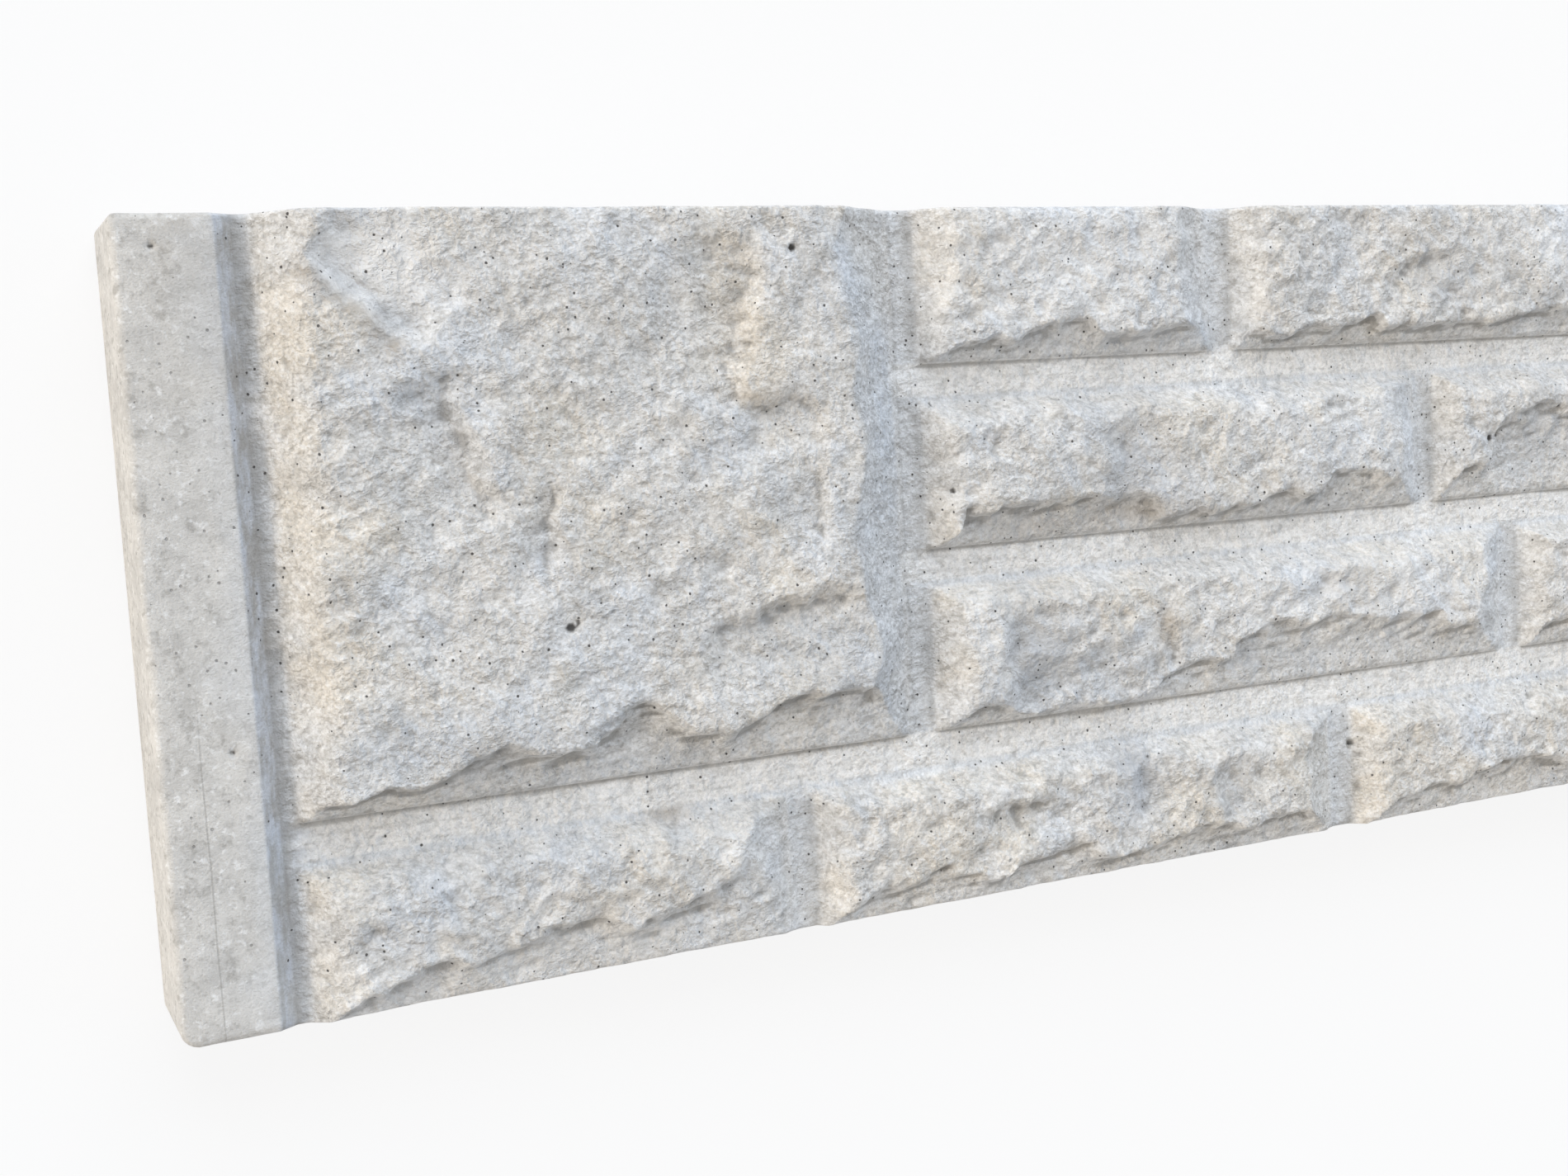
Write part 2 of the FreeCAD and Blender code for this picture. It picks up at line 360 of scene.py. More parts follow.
def smooth_min(a, b, blend):
    """The lower of two surfaces, with their crease rounded where they are within blend of each other."""
    share = np.clip(0.5 + 0.5 * (b - a) / blend, 0, 1)
    return b * (1 - share) + a * share - blend * share * (1 - share)


def scar_depth(u, v, scar, seed):
    """Depth of a scar: nothing behind its ragged edge, an even fall past it and a slow climb back."""
    at_u, at_v, facing, half_width, depth, fall_width, tail, bend = scar
    angle = math.radians(facing)
    away = (u - at_u) * math.cos(angle) + (v - at_v) * math.sin(angle)
    along = ((v - at_v) * math.cos(angle) - (u - at_u) * math.sin(angle)) / half_width
    wander = SCAR_WANDER * half_width * noise(u, v, 0.5 * half_width + 2, seed)
    past = away - bend * along**2 + (wander + SCAR_CHIPS * noise(u, v, 5, seed + 1))
    fall = smooth_min(past / fall_width, 1 - (past - fall_width) / tail, SCAR_CREST)
    return depth * np.clip(fall, 0, None) * np.clip(1 - along**2, 0, 1) ** SCAR_ENDS


def pitch_height(u, v, left, base, relief, points, seed):
    """Height of the broken lower part: a low step at the base, an even climb, then a steep lip to the edge.

    Also hands back the climb, 0 at the base and 1 at the edge."""
    edge = np.interp(u - left, *points) + EDGE_CHIPS * noise(u, v, 6, seed)
    edge = edge + EDGE_WANDER * noise(u, v, 17, seed + 1)
    climb = np.clip((base - v) / np.maximum(edge, 1.0), 0, 3)
    climb = climb * (1 + CLIMB_WANDER * noise(u, v, 8, seed + 2, 2.5, -8))
    ledges = LEDGE * ridges(u, v, 6, seed + 4, 4.5, -7) * np.clip(climb, 0, 1)
    return relief * (BASE_STEP + (1 - BASE_STEP - LIP) * climb + LIP * climb**LIP_POWER) + ledges, climb


print(f"struck edges start {BASE_STEP:.0%} of the relief above the mortar")

# %% The whole stone as a height
LEAN = -18  # degrees by which the torn grain leans
FACE_WAVE = 1.6
FACE_LUMP = 2.0
SLOPE_OVER = 1.05  # slopes and the top roll end a little above the face
SLOPE_WANDER = 0.3
TOP_ROLL = 10.0
TOP_WANDER = 0.25
BASE_ROLL = 5.0
BASE_CLIMB = 0.9  # share of the relief gained over the roll at the base
FILLET = 1.2  # round at the foot of the slopes
LEFT_WORN, RIGHT_WORN, TOP_WORN, BASE_WORN = 4.5, 1.5, 2.0, 1.5  # how widely each edge is rounded

# Limits between which a mark of the stone climbs from 0 to 1
PITCH_LIMITS = (-0.4, 0.8)
LIP_LIMITS = (0.7, 0.95)
RIGHT_LIMITS = (-1, 2)
LEFT_LIMITS = (-2, 4)
RIGHT_FOOT = (1.0, 4.5)
BASE_FOOT = (0.8, 2.8)


def rock_height(u, v, box, relief, slopes, points, scars, seed):
    """Height of one stone above the bed: the lowest of its face, side slopes, top roll and pitch.

    Also hands back where the pitch is the lowest, its lip under the edge, the side slopes (-1 left, 1 right)
    and the feet of the right slope and of the pitch."""
    left, right, top, base = box
    face = relief - FACE_WAVE + FACE_WAVE * noise(u, v, 80, seed)
    face = face + FACE_LUMP * layers(u, v, 36, 3, seed + 1, 1.4, LEAN, 0.45)
    for k, scar in enumerate(scars):
        face = face - scar_depth(u, v, scar, seed + 20 + 2 * k)
    from_left = np.clip(u - left, 0, None)
    from_right = np.clip(right - u, 0, None)
    from_top = np.clip(v - top, 0, None) * (1 + TOP_WANDER * layers(u, v, 26, 3, seed + 7))
    from_base = np.clip(base - v, 0, None)
    over = SLOPE_OVER * relief
    left_slope = over * from_left / slopes[0] * (1 + SLOPE_WANDER * layers(u, v, 34, 2, seed + 5))
    right_slope = over * from_right / slopes[1] * (1 + SLOPE_WANDER * layers(u, v, 44, 2, seed + 6))
    stone = smooth_min(face, left_slope, LEFT_WORN)
    stone = smooth_min(stone, right_slope, RIGHT_WORN)
    stone = smooth_min(stone, over * (1 - np.exp(-(from_top / TOP_ROLL) ** 2)), TOP_WORN)
    base_roll = relief * (2 * BASE_STEP + BASE_CLIMB * (1 - np.exp(-from_base / BASE_ROLL)))
    stone = np.clip(smooth_min(stone, base_roll, BASE_WORN), 0, None)
    stone = stone * (1 + FILLET / relief) * stone / (stone + FILLET)
    pitch, climb = pitch_height(u, v, left, base, relief, points, seed + 9)
    pitched = smoothstep(*PITCH_LIMITS, stone - pitch)
    lip = pitched * smoothstep(*LIP_LIMITS, climb)
    flank = smoothstep(*RIGHT_LIMITS, face - right_slope) - smoothstep(*LEFT_LIMITS, face - left_slope)
    foot = 1 - np.stack([smoothstep(*RIGHT_FOOT, from_right), smoothstep(*BASE_FOOT, from_base)])
    return np.minimum(stone, pitch), pitched, lip, flank, foot


print(f"side slopes end {SLOPE_OVER - 1:.0%} above the face")

# %% [markdown]
# ## Every stone in its place
#
# Each stone is worked out only on its own part of the grid, with its own seed, so no two are alike. The
# right corner stone has the struck edge and the scars of the left one, mirrored, so that both ends are of
# one kind. Beside the height, the loop keeps what the finish will need: broken parts, lips, side slopes,
# feet and the strip along each top edge.

# %% Every stone on the grid
STONE_RELIEF = 15.0
CORNER_RELIEF = 20.0
STONE_SLOPES = (15.0, 32.0)  # lengths of the left and right slopes
CORNER_SLOPES = (21.0, 37.0)
STONE_FLANK = 0.6  # the side slopes of small stones are marked less
CORNER_TOP = 20.0  # how far the stones run on above the board's top edge
COURSE_TOP = 12.0
CORNER_LUMPS = 0.7  # corner stones are less lumpy than small ones
CROWN_ABOVE = 5.0
CROWN_BELOW = 8.0
STONE_LIMITS = (0.2, 3.5)  # from mortar to stone, in height above the bed
FIRST_SEED, SEED_STEP = 1000, 60

above, pitched, lip, flank, foot_line, crown, lump_share = np.zeros((7, *U.shape))
for number, (name, box) in enumerate(stone_boxes.items()):
    left, right, top, base = box
    is_corner = isinstance(name, str)
    columns = slice(*np.searchsorted(u_lines, [left, right]))
    rows = slice(*np.searchsorted(v_lines, [top, base]))
    u, v = U[rows, columns], V[rows, columns]
    if top < 0:
        top = -CORNER_TOP if is_corner else -COURSE_TOP
    box = (left, right, top, base)
    if name == "right corner":
        u, box = LENGTH - u, (LENGTH - right, LENGTH - left, top, base)
    points = pitch_points("left corner" if is_corner else name, right - left)
    nearby = [s for s in STONE_SCARS if left < s[0] < right and top < s[1] < base]
    scars = CORNER_SCARS if is_corner else nearby
    relief, slopes = (CORNER_RELIEF, CORNER_SLOPES) if is_corner else (STONE_RELIEF, STONE_SLOPES)
    seed = FIRST_SEED + SEED_STEP * number
    shape, is_pitch, is_lip, side, is_foot = rock_height(u, v, box, relief, slopes, points, scars, seed)
    above[rows, columns] = np.maximum(shape, 0)
    pitched[rows, columns] = is_pitch
    lip[rows, columns] = is_lip
    crown_rows = slice(*np.searchsorted(v_lines, [top - CROWN_ABOVE, top + CROWN_BELOW]))
    crown[crown_rows, columns] = 1
    foot_line[rows, columns] = np.maximum(is_foot[0] * is_corner, is_foot[1])
    flank[rows, columns] = (-side if name == "right corner" else side) * (1 if is_corner else STONE_FLANK)
    lump_share[rows, columns] = CORNER_LUMPS if is_corner else 1
stone = smoothstep(*STONE_LIMITS, above)
print(f"stones stand up to {above.max():.1f} mm out of the bed")

# %% [markdown]
# ## Rock, mortar and tongues
#
# Lumps the size of a fingertip are laid over the stones. The mortar was smoothed along the joint, which
# leaves faint streaks. The tongues were cast against a flat mould and are smooth, with only a slow
# waviness. Between tongue and bed the face slopes, as the solid does.

# %% Lumps, streaks and waviness
SHOULDER_SPAN = (TONGUE_SPAN - 9, TONGUE_SPAN - 2)
PITCH_CALM = 0.45  # broken parts and side slopes have lower lumps
SLOPE_CALM = 0.3
UPRIGHT_CALM = 0.8  # upright joints have hardly any streaks

from_end = np.minimum(U, LENGTH - U)
off_tongue = smoothstep(*SHOULDER_SPAN, from_end)
plain_face = np.where(from_end < TONGUE_SPAN, solid_height, BED)
lumps = 1.1 * ridges(U, V, 19, 53, 1.4, LEAN)
lumps = lumps + 1.0 * ridges(U, V, 9, 57, 1.3, LEAN)
lumps = lumps + 0.6 * noise(U, V, 4.5, 61, 1.3)
lumps = lumps * lump_share * (1 - PITCH_CALM * pitched) * (1 - SLOPE_CALM * np.abs(flank))
streaks = 0.22 * noise(U, V, 2.8, 71, 14) + 0.45 * layers(U, V, 30, 2, 73, 2)
waviness = 0.25 * noise(U, V, 45, 79)
upright = np.zeros_like(U)
for first, last in course_rows:
    upright[first:last + 1] = 1
upright = upright * (1 - stone) * off_tongue
streaks = streaks * off_tongue * (1 - stone) * (1 - UPRIGHT_CALM * upright)
height = plain_face + above + stone * lumps + streaks + (1 - off_tongue) * waviness
print(f"lumps up to {lumps.max():.1f} mm, streaks up to {streaks.max():.1f} mm")

# %% [markdown]
# ## Pits and stains
#
# A casting keeps marks of its making and of the weather: large blowholes, brown drips, grey or bluish
# washes and pale patches, which are partly lime and partly painted highlight on slopes that face the
# light. They are few enough to be listed. A mark fades out from its middle as a bell curve with a ragged
# outline, and a blowhole is also sunk. A run of small brown marks follows the edge of the hollow near the
# top of the corner stone.

# %% Pits and stains
# Each mark: its middle (u, v), its half width along the board, its half height, and its strength
BLOWHOLES = (
    (157, 163, 2.6, 2.2, 1.0), (160, 161, 1.4, 1.4, 0.8), (262, 17, 1.8, 1.6, 1.0),
    (654, 117, 2.2, 1.8, 1.0), (663, 116, 1.6, 1.4, 0.8), (338, 122, 1.4, 1.4, 0.9),
    (333, 84, 1.2, 1.2, 0.8), (565, 264, 1.3, 1.5, 0.9), (437, 253, 1.2, 1.2, 0.7),
    (704, 103, 1.3, 1.3, 0.8), (14, 12, 1.2, 1.2, 0.8), (27, 197, 1.2, 1.2, 0.7),
)
BROWN_STAINS = (
    (198, 245, 8, 4, 0.8), (448, 192, 5, 10, 0.6), (436, 138, 26, 5, 0.5), (246, 77, 13, 3, 0.45),
    (384, 141, 20, 4, 0.35), (24, 20, 11, 26, 0.3), (30, 60, 7, 30, 0.2),
    *((66 + 5 * k, 23 + 4.6 * k, 4.5, 2.6, 0.9) for k in range(7)),
)
GREY_WASHES = (
    (436, 116, 20, 24, 0.55), (428, 262, 12, 18, 0.65), (376, 194, 18, 20, 0.65), (500, 215, 12, 9, 0.4),
    (620, 36, 15, 16, 0.4), (482, 277, 10, 13, 0.4), (552, 182, 16, 9, 0.4), (190, 222, 30, 5, 0.35),
    (690, 120, 16, 18, 0.4), (268, 190, 30, 14, 0.3), (120, 205, 30, 8, 0.2), (440, 60, 50, 6, 0.35),
    (400, 140, 46, 7, 0.35), (560, 143, 46, 6, 0.3), (560, 215, 60, 8, 0.25), (140, 262, 90, 26, 0.2),
)
LIME_AND_LIT_PATCHES = (
    (92, 21, 20, 14, 0.95), (412, 28, 60, 26, 0.4), (575, 184, 90, 18, 0.35), (560, 105, 45, 16, 0.25),
    (110, 130, 22, 26, 0.1), (225, 265, 16, 14, 0.4), (700, 20, 40, 14, 0.5), (352, 188, 10, 20, 0.35),
    (342, 112, 9, 26, 0.2), (338, 30, 9, 26, 0.3), (600, 112, 12, 24, 0.3), (658, 192, 12, 24, 0.25),
    (130, 294, 90, 8, 0.3),
)
BLOWHOLE_DEPTH = 2.4
RAGGED = 0.45
BELL = 0.8  # how fast a mark fades
MARK_SEED = 91
TOP_ROOM = 0.05  # the face stays this far below the solid's highest point
TOP_EASE = 1.5


def spots_of(marks, seed):
    """Strength of a list of marks at each grid point: bell curves with ragged outlines, the strongest one."""
    ragged = 1 + RAGGED * layers(U, V, 9, 4, seed)
    strength = np.zeros_like(U)
    for at_u, at_v, half_width, half_height, most in marks:
        distance = ((U - at_u) / half_width) ** 2 + ((V - at_v) / half_height) ** 2
        strength = np.maximum(strength, most * np.exp(-BELL * distance * ragged))
    return strength


mark_lists = (BLOWHOLES, BROWN_STAINS, GREY_WASHES, LIME_AND_LIT_PATCHES)
blowhole, brown, washed, lime_and_highlight = (spots_of(marks, MARK_SEED + k) for k, marks in enumerate(mark_lists))
height = height - BLOWHOLE_DEPTH * blowhole
height = smooth_min(height, THICKNESS - TOP_ROOM, TOP_EASE)
print(f"face heights {height.min():.1f} to {height.max():.1f} mm")

# %% [markdown]
# ## The outline and its worn edges
#
# In plan the corners are rounded, more at the bottom than at the top. The grid is squeezed to fit: each
# column of points loses the corner's inset at its top and bottom. Near the rim the surface drops by the
# height of a quarter circle, with a radius that changes along the edge as on a casting that has been
# handled.

# %% Outline and rim
TOP_CORNER = 3.0
BOTTOM_CORNER = 7.0
RIM_ROUND = 2.0
TONGUE_ROUND = 1.0  # added along the tongues
RIM_WEAR = 1.1
LEAST_ROUND = 0.8


def corner_inset(radius):
    """How far a rounded corner cuts in at each distance from the end: r - sqrt(r^2 - (r - d)^2)."""
    reach = np.clip(radius - from_end, 0, radius)
    return radius - np.sqrt(radius**2 - reach**2)


top_inset = corner_inset(TOP_CORNER)
bottom_inset = corner_inset(BOTTOM_CORNER)
plan_x = U - LENGTH / 2
plan_y = HEIGHT / 2 - (top_inset + V * (HEIGHT - top_inset - bottom_inset) / HEIGHT)
from_rim = np.minimum(from_end, np.minimum(V, HEIGHT - V))
rim_radius = RIM_ROUND + TONGUE_ROUND * (1 - off_tongue) + RIM_WEAR * layers(U, V, 30, 3, 83)
rim_radius = np.clip(rim_radius, LEAST_ROUND, RIM_STEPS[-1])
reach = np.clip(rim_radius - from_rim, 0, None)
front = height - (rim_radius - np.sqrt(np.maximum(rim_radius**2 - reach**2, 0)))
print(f"rim rounded by {rim_radius.min():.1f} to {rim_radius.max():.1f} mm")

# %% [markdown]
# ## One closed mesh
#
# The board is cast in one piece, so it is one closed mesh. The front is the grid. Around it, rings of
# points go down the sides, turn a small round at the foot and end in one flat face, the back, which was
# struck off level in the mould.

# %% Points of the board
WALL_LEVELS = np.array([0.8, 0.6, 0.4, 0.2, 0.06])  # heights of the rings, as shares of the rim's height
BACK_ROUND = 1.2

row_count, column_count = U.shape
ring = np.concatenate([
    np.arange(column_count - 1),
    np.arange(row_count - 1) * column_count + column_count - 1,
    np.arange(U.size - 1, U.size - column_count, -1),
    np.arange(row_count - 1, 0, -1) * column_count,
])
front_points = np.stack([plan_x, plan_y, front], -1).reshape(-1, 3)
rim = front_points[ring]
levels = [rim * [1, 1, share] for share in WALL_LEVELS]
back_inset = 1 - 2 * BACK_ROUND / np.array([LENGTH, HEIGHT])
back = rim * [*back_inset, 0]
board_points = np.concatenate([front_points, *levels, back])
print("points", len(board_points))


# %% Faces of the board
def ring_quads(upper, lower):
    """Quads between two closed rings of as many points."""
    return np.stack([upper, lower, np.roll(lower, -1), np.roll(upper, -1)], -1)


index = np.arange(U.size).reshape(U.shape)
faces = [np.stack([index[:-1, :-1], index[1:, :-1], index[1:, 1:], index[:-1, 1:]], -1).reshape(-1, 4)]
upper_ring = ring
for k in range(WALL_LEVELS.size + 1):
    lower_ring = U.size + k * ring.size + np.arange(ring.size)
    faces.append(ring_quads(lower_ring, upper_ring))
    upper_ring = lower_ring
quads = np.concatenate(faces)
corners = np.concatenate([quads.ravel(), upper_ring])
sizes = np.concatenate([np.full(len(quads), 4), [ring.size]])

mesh = bpy.data.meshes.new("gravel_board_fine")
mesh.vertices.add(len(board_points))
mesh.vertices.foreach_set("co", (board_points * MM).astype(np.float32).ravel())
mesh.loops.add(corners.size)
mesh.loops.foreach_set("vertex_index", corners.astype(np.int32))
mesh.polygons.add(sizes.size)
mesh.polygons.foreach_set("loop_start", (np.cumsum(sizes) - sizes).astype(np.int32))
mesh.update(calc_edges=True)
mesh.validate()
print("faces", len(mesh.polygons))

# %% [markdown]
# ## Fewer triangles where the surface is plain
#
# The even grid spends as many faces on the flat tongues as on a broken edge. The Decimate modifier merges
# edges where that changes the surface least, so the flats give up their triangles and the ridges keep
# theirs. Merging can push a point a hair outside the solid's box, so the points are held inside it at the
# end.

# %% Thin the mesh
MOST_TRIANGLES = 194000

fine = bpy.data.objects.new("fine", mesh)
bpy.context.collection.objects.link(fine)
thin = fine.modifiers.new("thin", "DECIMATE")
thin.ratio = MOST_TRIANGLES / (corners.size - 2 * sizes.size)
thin.use_collapse_triangulate = True
thinned = fine.evaluated_get(bpy.context.evaluated_depsgraph_get())
board_mesh = bpy.data.meshes.new_from_object(thinned)
bpy.data.objects.remove(fine)
board_mesh.name = "rock_faced_board"
spots = np.empty(len(board_mesh.vertices) * 3, np.float32)
board_mesh.vertices.foreach_get("co", spots)
spots = np.clip(spots.reshape(-1, 3), np.array(cad_low), np.array(cad_high))
board_mesh.vertices.foreach_set("co", spots.astype(np.float32).ravel())
board = bpy.data.objects.new("rock_faced_board", board_mesh)
bpy.context.collection.objects.link(board)
board_mesh.shade_smooth()
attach(board, "root")
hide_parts("gravel_board")
print("triangles", len(board_mesh.polygons))

# %% [markdown]
# ## Marks for the finish
#
# The finish has to know what is stone and what is mortar, and where the surface is hollow, because shade
# is painted into the creases and hollows. These are read from the grid at the place of each point and
# stored on the mesh as attributes, which the shader can use as it would a painted map. The sides and the
# back have no such marks: they were cast against plain walls and struck off level, so they take the
# finish of the tongues.

# %% Reading a field at a point
def soften(field, times):
    """Each value replaced by a quarter, half, quarter average of its neighbours, along both sides."""
    for _ in range(times):
        padded = np.pad(field, 1, mode="edge")
        across = (padded[:, :-2] + 2 * padded[:, 1:-1] + padded[:, 2:]) / 4
        field = (across[:-2] + 2 * across[1:-1] + across[2:]) / 4
    return field


def read_at(field, u, v):
    """Value of a grid field between its lines: the four nearest values, weighted by nearness."""
    column = np.clip(np.interp(u, u_lines, np.arange(u_lines.size)), 0, u_lines.size - 1.001)
    row = np.clip(np.interp(v, v_lines, np.arange(v_lines.size)), 0, v_lines.size - 1.001)
    c0, r0 = column.astype(int), row.astype(int)
    fc, fr = column - c0, row - r0
    upper = field[r0, c0] * (1 - fc) + field[r0, c0 + 1] * fc
    lower = field[r0 + 1, c0] * (1 - fc) + field[r0 + 1, c0 + 1] * fc
    return upper * (1 - fr) + lower * fr


spot_u = spots[:, 0] / MM + LENGTH / 2
spot_v = HEIGHT / 2 - spots[:, 1] / MM
print(len(spots), "points to be marked")

# %% Attributes
CREASE_ROUNDS, CREASE_DEPTH = 4, 0.8
HOLLOW_ROUNDS, HOLLOW_DEPTH = 60, 3.0
HIGH_FACE = (8, 13)  # hollows count only on the faces of the stones
CROWN_UNSHADED = 0.85  # the painted shade in the creases is mostly left off along a stone's top edge
TONGUE_END = (34.5, 36.5)
SHOULDER_START = (35.0, 36.5)
SHOULDER_END = (42.0, 46.0)
WALL_START = (0.5, 4.0)  # depth below the face at which the plain sides begin


def hollowness(rounds, depth):
    """How far the face lies below its softened self: -1 to 1, where depth millimetres is 1."""
    return np.clip((soften(height, rounds) - height) / depth, -1, 1)


marks = {
    "stone": stone,
    "pitch": pitched * stone,
    "lip": lip * stone,
    "foot": foot_line,
    "flank": flank * stone,
    "crease": hollowness(CREASE_ROUNDS, CREASE_DEPTH) * (1 - CROWN_UNSHADED * crown),
    "hollow": hollowness(HOLLOW_ROUNDS, HOLLOW_DEPTH) * smoothstep(*HIGH_FACE, above),
    "tongue": 1 - smoothstep(*TONGUE_END, from_end),
    "shoulder": smoothstep(*SHOULDER_START, from_end) * (1 - smoothstep(*SHOULDER_END, from_end)),
    "upright": upright,
    "blowhole": blowhole,
    "brown": brown,
    "washed": washed,
    "lime_and_highlight": lime_and_highlight,
}
below_rim = read_at(front, spot_u, spot_v) - spots[:, 2] / MM
wall = smoothstep(*WALL_START, below_rim)
for name, field in marks.items():
    values = read_at(field, spot_u, spot_v) * (1 - wall)
    if name == "tongue":
        values = values + wall
    mark = board_mesh.attributes.new(name, "FLOAT", "POINT")
    mark.data.foreach_set("value", values.astype(np.float32))
    print(name, f"{values.min():.2f} to {values.max():.2f}")

# %% [markdown]
# ## Shader maths in Python
#
# A finish is a sum of patterns. Wiring each sum by hand hides the formula, so a small class wraps a
# socket and lets it take part in Python arithmetic: each operator adds one Math node. The same class
# serves the board, the floor and the sky.

# %% A socket that can be added and multiplied
class Finish:
    """The node tree of a material or of the world."""

    def __init__(self, owner):
        self.owner = owner
        owner.use_nodes = True
        self.tree = owner.node_tree
        self.tree.nodes.clear()

    def node(self, kind, settings=None, sockets=None, out=0):
        """Add a node, give it settings and socket values or links, and hand back one of its outputs."""
        made = self.tree.nodes.new(kind)
        for key, value in (settings or {}).items():
            setattr(made, key, value)
        for key, value in (sockets or {}).items():
            if isinstance(value, Signal):
                self.tree.links.new(value.socket, made.inputs[key])
            else:
                made.inputs[key].default_value = value
        return Signal(self, made.outputs[out]) if made.outputs else None


class Signal:
    """An output socket that works in sums and products."""

    def __init__(self, finish, socket):
        self.finish = finish
        self.socket = socket

    def math(self, operation, a, b):
        """One Math node on two values."""
        return self.finish.node("ShaderNodeMath", {"operation": operation}, {0: a, 1: b})

    def __add__(self, other):
        return self.math("ADD", self, other)

    def __sub__(self, other):
        return self.math("SUBTRACT", self, other)

    def __rsub__(self, other):
        return self.math("SUBTRACT", other, self)

    def __mul__(self, other):
        return self.math("MULTIPLY", self, other)

    __radd__ = __add__
    __rmul__ = __mul__

    def output(self, place):
        """Another output of the same node."""
        return Signal(self.finish, self.socket.node.outputs[place])

    def ramp(self, low, high):
        """0 below low, 1 above high, smooth between."""
        settings = {"interpolation_type": "SMOOTHSTEP"}
        limits = {"Value": self, "From Min": low, "From Max": high}
        return self.finish.node("ShaderNodeMapRange", settings, limits)


concrete = Finish(bpy.data.materials.new("cast_concrete"))
print("empty finish", concrete.owner.name)

# %% [markdown]
# ## The concrete
#
# The board is pale grey concrete with a sandy skin. A photograph wrapped round it would give the colour,
# but it would stretch on the steep sides. Patterns in the object's own space need no unwrapping and run
# through the board as the sand does. The colour starts as one grey, and coats of other colours go over it
# one by one, each where a pattern or a mark of the mesh says how strongly.

# %% Patterns, marks and coats of colour
coords = concrete.node("ShaderNodeTexCoord", out=3)


def cloud(cell, detail=2.0, rough=0.5, offset=0.0, stretch=(1, 1, 1), turn=0.0):
    """Soft noise about 0.5; cell is a patch's size in millimetres, stretched and turned in plan."""
    spread = {
        "Vector": coords,
        "Location": (offset, 0.7 * offset, 0),
        "Rotation": (0, 0, math.radians(turn)),
        "Scale": [cell * MM * s for s in stretch],
    }
    place = concrete.node("ShaderNodeMapping", {"vector_type": "TEXTURE"}, spread)
    sockets = {"Vector": place, "Scale": 1.0, "Detail": detail, "Roughness": rough}
    return concrete.node("ShaderNodeTexNoise", None, sockets)


def mark_of(name):
    """An attribute of the mesh as a value."""
    return concrete.node("ShaderNodeAttribute", {"attribute_name": name}, out=2)


def blend(amount, under, over):
    """Colour under where amount is 0, over where it is 1."""
    return concrete.node("ShaderNodeMix", {"data_type": "RGBA"}, {0: amount, 6: under, 7: over}, out=2)


def coated(colour, *coats):
    """A colour with coats laid over it in turn; each coat is (amount, its colour)."""
    for amount, coat in coats:
        colour = blend(amount, colour, coat)
    return colour


stone_mark, upright_mark = mark_of("stone"), mark_of("upright")
tongue_mark, shoulder_mark = mark_of("tongue"), mark_of("shoulder")
print(len(concrete.tree.nodes), "nodes")

# %% [markdown]
# ## Stone and mortar
#
# The stones are pale grey, with soft patches that lean to cream and to blue-white. The mortar is paler,
# apart from the upright joints, which are painted darker as shade, and has faint dirty streaks along it.
# The right slopes of the stones get a painted bluish shade, a painted shadow runs along their feet, and
# their broken parts are painted paler as light.

# %% Stone and mortar
PALE = (0.815, 0.79, 0.755, 1)
GREY = (0.71, 0.69, 0.66, 1)
CREAM = (0.87, 0.775, 0.635, 1)
BLUE_WHITE = (0.70, 0.75, 0.82, 1)
MORTAR = (0.95, 0.93, 0.90, 1)
# The next three colours are painted shade and light: shade in the upright joints, bluish shade on the right
# slopes and light on the broken parts
SHADED_MORTAR = (0.75, 0.76, 0.77, 1)
BLUE_SHADE = (0.46, 0.52, 0.60, 1)
PITCH_PAINTED_LIGHT = (0.93, 0.91, 0.88, 1)
DUST_AND_SHADE = (0.27, 0.255, 0.23, 1)

stone_tone = coated(
    PALE,
    (cloud(20, 4.0, 0.6).ramp(0.34, 0.66), GREY),
    (0.45 * cloud(62, 3.0, 0.55, offset=1.1).ramp(0.45, 0.62), CREAM),
    (0.48 * cloud(55, 3.0, 0.55, offset=2.3).ramp(0.46, 0.63), BLUE_WHITE),
)
streak = cloud(2.2, 3.0, 0.5, offset=0.9, stretch=(16, 1, 1))
bed_joint = (1 - stone_mark) * (1 - upright_mark)
body = coated(
    MORTAR,
    (upright_mark, SHADED_MORTAR),
    (stone_mark, stone_tone),
    (0.2 * bed_joint * (1 - streak.ramp(0.3, 0.5)), DUST_AND_SHADE),
    # painted shade: the right slopes of the stones are coloured bluish
    (0.34 * mark_of("flank").ramp(0.2, 0.9), BLUE_SHADE),
    # painted shadow: a dark line along the foot of each stone and of the corner stones' right slopes
    (0.35 * mark_of("foot"), DUST_AND_SHADE),
    # painted light: the broken parts, which face away from the light, are made paler
    (0.42 * mark_of("pitch"), PITCH_PAINTED_LIGHT),
)
print(len(concrete.tree.nodes), "nodes")

# %% [markdown]
# ## Tongues and shoulders
#
# The tongues have a closed skin from the mould: grey clouds, white specks of lime and small dark scuffs.
# A hairline seam runs up the lower part of the left one. The shoulders beside them slope away from the
# light and are painted darker, in grey and bluish patches, as shade.

# %% Tongues and shoulders
TONGUE_SKIN = (0.72, 0.70, 0.665, 1)
TONGUE_WASH = (0.55, 0.535, 0.51, 1)
SHOULDER_SHADE_GREY = (0.39, 0.385, 0.375, 1)
SHOULDER_SHADE_BLUE = (0.55, 0.58, 0.63, 1)
LIME_AND_HIGHLIGHT = (0.95, 0.95, 0.945, 1)
HAIRLINE = 15.5  # distance of the seam from the end
HAIRLINE_WANDER = 1.2
HAIRLINE_WIDTHS = (0.2, 0.4)  # distances from its middle where it is full and where it ends
HAIRLINE_FADE = 60.0

